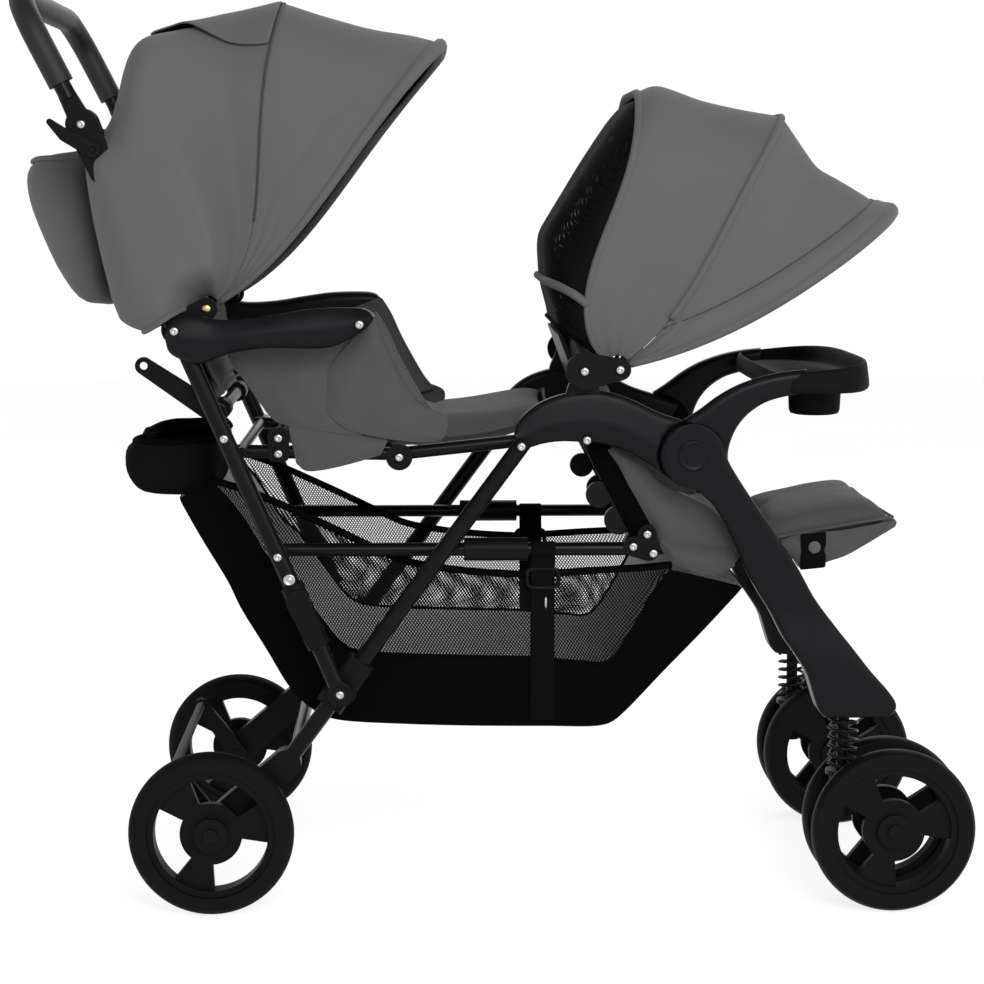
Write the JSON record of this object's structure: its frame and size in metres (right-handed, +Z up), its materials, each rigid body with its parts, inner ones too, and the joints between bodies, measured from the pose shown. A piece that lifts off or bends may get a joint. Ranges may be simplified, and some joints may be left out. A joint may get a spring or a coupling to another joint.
{
  "type": "tandem stroller",
  "caption": "Folding pushchair with one seat behind the other, a hood over each, a child tray, a shopping basket, braked rear wheels and twin front casters.",
  "frame": {"origin": "on the ground under the middle of the outer box", "axes": "+X to the front, +Y to the left, +Z up"},
  "size_m": [1.2249, 0.562, 1.1763],
  "materials": {
    "tube_black": "satin black paint",
    "light_tube": "satin black paint",
    "plastic_black": "fine grained",
    "plastic_gloss": "satin moulded",
    "fabric_grey": "woven",
    "fabric_dark": "woven, padded",
    "fabric_black": "woven and net",
    "steel": "bright",
    "tyre": "smooth",
    "rim": "fine grained",
    "foam": "foam"
  },
  "bodies": {
    "chassis": {"rear_legs": "tube_black", "rear_wheel_brackets": "plastic_black", "rear_axles": "steel", "lower_joints": "plastic_black", "pivot_pins": "steel", "basket_rails": "tube_black", "seat_rails": "light_tube", "rail_joints": "plastic_black", "front_arches": "plastic_gloss", "front_seat_frame": "light_tube", "front_seat_cushion": "fabric_dark", "rear_seat_cushion": "fabric_dark", "seat_side_panels": "fabric_dark", "basket": "fabric_black", "front_canopy_brackets": "plastic_black", "front_canopy_rear_bow": "plastic_black", "frame_screws": "steel", "front_canopy_rear_panel": "fabric_grey"},
    "push_frame": {"push_tubes": "tube_black", "rear_armrests": "plastic_gloss", "rear_canopy_brackets": "plastic_black", "handle_hinge_blocks": "plastic_black", "push_screws": "steel", "fold_hooks": "plastic_black", "rear_pocket": "fabric_grey", "rear_canopy_rear_panel": "fabric_grey"},
    "rear_canopy_mid": {"rear_canopy_mid_bow": "plastic_black", "rear_canopy_front_panel": "fabric_grey"},
    "rear_canopy_front": {"rear_canopy_front_bow": "plastic_black"},
    "front_canopy_mid": {"front_canopy_mid_bow": "plastic_black", "front_canopy_front_panel": "fabric_grey"},
    "front_canopy_front": {"front_canopy_front_bow": "plastic_black"},
    "handle": {"handle_bar": "light_tube", "handle_grip": "foam"},
    "fold_triggers": {"fold_triggers": "plastic_black"},
    "fold_locks": {"fold_locks": "plastic_black"},
    "rear_backrest": {"rear_backrest_board": "plastic_black", "rear_backrest_pad": "fabric_dark"},
    "front_backrest": {"front_backrest_board": "plastic_black", "front_backrest_pad": "fabric_dark"},
    "footrest": {"footrest_board": "plastic_black", "footrest_pad": "fabric_dark"},
    "tray": {"tray": "plastic_gloss"},
    "front_legs": {"front_legs": "plastic_gloss", "front_cross_tube": "tube_black", "caster_spring_left": "steel", "caster_spring_right": "steel"},
    "brake_bar": {"brake_bar": "plastic_black"},
    "rear_wheel_left": {"rear_tyre_left": "tyre", "rear_rim_left": "rim"},
    "rear_wheel_right": {"rear_tyre_right": "tyre", "rear_rim_right": "rim"},
    "caster_stem_left": {"caster_stem_left": "steel"},
    "caster_left": {"caster_fork_left": "plastic_black"},
    "front_wheel_left_outer": {"front_wheel_left_outer": "rim"},
    "front_wheel_left_inner": {"front_wheel_left_inner": "rim"},
    "caster_stem_right": {"caster_stem_right": "steel"},
    "caster_right": {"caster_fork_right": "plastic_black"},
    "front_wheel_right_outer": {"front_wheel_right_outer": "rim"},
    "front_wheel_right_inner": {"front_wheel_right_inner": "rim"}
  },
  "joints": [
    {"name": "frame_fold", "type": "hinge", "parent": "chassis", "child": "push_frame", "pos_m": [-0.203, 0, 0.286], "axis": [0, 1, 0], "range_deg": [0, 45], "deforming": ["basket", "seat_side_panels", "rear_seat_cushion", "front_canopy_rear_panel", "front_canopy_front_panel", "rear_canopy_rear_panel", "rear_canopy_front_panel", "rear_pocket"]},
    {"name": "front_leg_fold", "type": "hinge", "parent": "chassis", "child": "front_legs", "pos_m": [0.24718, 0, 0.58735], "axis": [0, 1, 0], "range_deg": [0, 56], "deforming": ["basket"]},
    {"name": "rear_canopy_close", "type": "hinge", "parent": "push_frame", "child": "rear_canopy_mid", "pos_m": [-0.36818, 0, 0.77476], "axis": [0, 1, 0], "range_deg": [-25, 0], "deforming": ["rear_canopy_rear_panel", "rear_canopy_front_panel", "rear_pocket"]},
    {"name": "rear_canopy_visor", "type": "hinge", "parent": "rear_canopy_mid", "child": "rear_canopy_front", "pos_m": [-0.36818, 0, 0.77476], "axis": [0, 1, 0], "range_deg": [-22, 0], "deforming": ["rear_canopy_front_panel", "rear_canopy_rear_panel"]},
    {"name": "front_canopy_close", "type": "hinge", "parent": "chassis", "child": "front_canopy_mid", "pos_m": [0.15318, 0, 0.69735], "axis": [0, 1, 0], "range_deg": [-20, 0], "deforming": ["front_canopy_rear_panel", "front_canopy_front_panel"]},
    {"name": "front_canopy_visor", "type": "hinge", "parent": "front_canopy_mid", "child": "front_canopy_front", "pos_m": [0.15318, 0, 0.69735], "axis": [0, 1, 0], "range_deg": [-20, 0], "deforming": ["front_canopy_front_panel", "front_canopy_rear_panel"]},
    {"name": "handle_tilt", "type": "hinge", "parent": "push_frame", "child": "handle", "pos_m": [-0.51647, 0, 1.00351], "axis": [0, 1, 0], "range_deg": [-20, 30]},
    {"name": "trigger_squeeze", "type": "hinge", "parent": "push_frame", "child": "fold_triggers", "pos_m": [-0.50286, 0, 0.97236], "axis": [0, 1, 0], "range_deg": [0, 8]},
    {"name": "lock_slide", "type": "slide", "parent": "push_frame", "child": "fold_locks", "axis": [-0.4003, 0, 0.9164], "range_m": [0, 0.012], "stiffness_N_per_m": 150, "springref_m": -0.012},
    {"name": "rear_recline", "type": "hinge", "parent": "push_frame", "child": "rear_backrest", "pos_m": [-0.35834, 0, 0.64155], "axis": [0, 1, 0], "range_deg": [0, 10]},
    {"name": "front_recline", "type": "hinge", "parent": "chassis", "child": "front_backrest", "pos_m": [0.185, 0, 0.465], "axis": [0, 1, 0], "range_deg": [0, 12]},
    {"name": "footrest_drop", "type": "hinge", "parent": "chassis", "child": "footrest", "pos_m": [0.317, 0, 0.446], "axis": [0, 1, 0], "range_deg": [0, 35]},
    {"name": "tray_lift", "type": "slide", "parent": "chassis", "child": "tray", "axis": [0, 0, 1], "range_m": [0, 0.08]},
    {"name": "brake_press", "type": "hinge", "parent": "chassis", "child": "brake_bar", "pos_m": [-0.369, 0, 0.106], "axis": [0, 1, 0], "range_deg": [-20, 0]},
    {"name": "rear_wheel_left_spin", "type": "hinge", "parent": "chassis", "child": "rear_wheel_left", "pos_m": [-0.369, 0.258, 0.106], "axis": [0, 1, 0], "continuous": true},
    {"name": "rear_wheel_right_spin", "type": "hinge", "parent": "chassis", "child": "rear_wheel_right", "pos_m": [-0.369, -0.258, 0.106], "axis": [0, 1, 0], "continuous": true},
    {"name": "caster_left_spring", "type": "slide", "parent": "front_legs", "child": "caster_stem_left", "axis": [0, 0, 1], "range_m": [0, 0.012], "stiffness_N_per_m": 9000, "springref_m": -0.012, "deforming": ["caster_spring_left"]},
    {"name": "caster_left_swivel", "type": "hinge", "parent": "caster_stem_left", "child": "caster_left", "pos_m": [0.446, 0.226, 0.15], "axis": [0, 0, 1], "continuous": true},
    {"name": "front_wheel_left_outer_spin", "type": "hinge", "parent": "caster_left", "child": "front_wheel_left_outer", "pos_m": [0.5065, 0.265, 0.106], "axis": [0, 1, 0], "continuous": true},
    {"name": "front_wheel_left_inner_spin", "type": "hinge", "parent": "caster_left", "child": "front_wheel_left_inner", "pos_m": [0.5065, 0.187, 0.106], "axis": [0, 1, 0], "continuous": true},
    {"name": "caster_right_spring", "type": "slide", "parent": "front_legs", "child": "caster_stem_right", "axis": [0, 0, 1], "range_m": [0, 0.012], "stiffness_N_per_m": 9000, "springref_m": -0.012, "deforming": ["caster_spring_right"]},
    {"name": "caster_right_swivel", "type": "hinge", "parent": "caster_stem_right", "child": "caster_right", "pos_m": [0.446, -0.226, 0.15], "axis": [0, 0, 1], "continuous": true},
    {"name": "front_wheel_right_outer_spin", "type": "hinge", "parent": "caster_right", "child": "front_wheel_right_outer", "pos_m": [0.5065, -0.265, 0.106], "axis": [0, 1, 0], "continuous": true},
    {"name": "front_wheel_right_inner_spin", "type": "hinge", "parent": "caster_right", "child": "front_wheel_right_inner", "pos_m": [0.5065, -0.187, 0.106], "axis": [0, 1, 0], "continuous": true}
  ],
  "couplings": [
    {"joint": "front_leg_fold", "follows": "frame_fold", "ratio": 1.2444},
    {"joint": "rear_canopy_close", "follows": "frame_fold", "ratio": -0.5555},
    {"joint": "trigger_squeeze", "follows": "lock_slide", "rad_per_m": 11.6}
  ]
}
